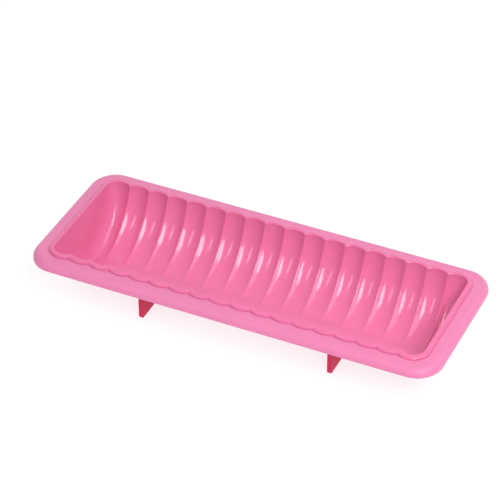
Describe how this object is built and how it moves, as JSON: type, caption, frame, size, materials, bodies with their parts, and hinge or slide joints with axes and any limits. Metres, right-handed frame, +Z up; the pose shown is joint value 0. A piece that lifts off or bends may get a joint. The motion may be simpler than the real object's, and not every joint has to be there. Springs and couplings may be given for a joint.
{
  "type": "fluted loaf mould",
  "caption": "Flexible silicone loaf mould: a long fluted trough with a beaded rim, a flat flange with a rolled lip, and two cross plates that it stands on.",
  "frame": {"origin": "middle of the bounding box's bottom: under the middle of the trough, on the surface that the two foot plates stand on", "axes": "+X along the trough, +Y across it towards its back long side, +Z up out of the trough's mouth"},
  "size_m": [0.299, 0.118, 0.0411],
  "materials": {
    "trough": "gloss",
    "rim": "satin",
    "feet": "satin"
  },
  "bodies": {
    "root": {"flute_wall_back": "trough", "flute_wall_front": "trough", "floor_strip": "trough", "end_wall_left": "trough", "end_wall_right": "trough", "rim_bead": "rim", "rim_flange": "rim", "rolled_lip": "rim", "foot_plate_left": "feet", "foot_plate_right": "feet"}
  },
  "joints": []
}
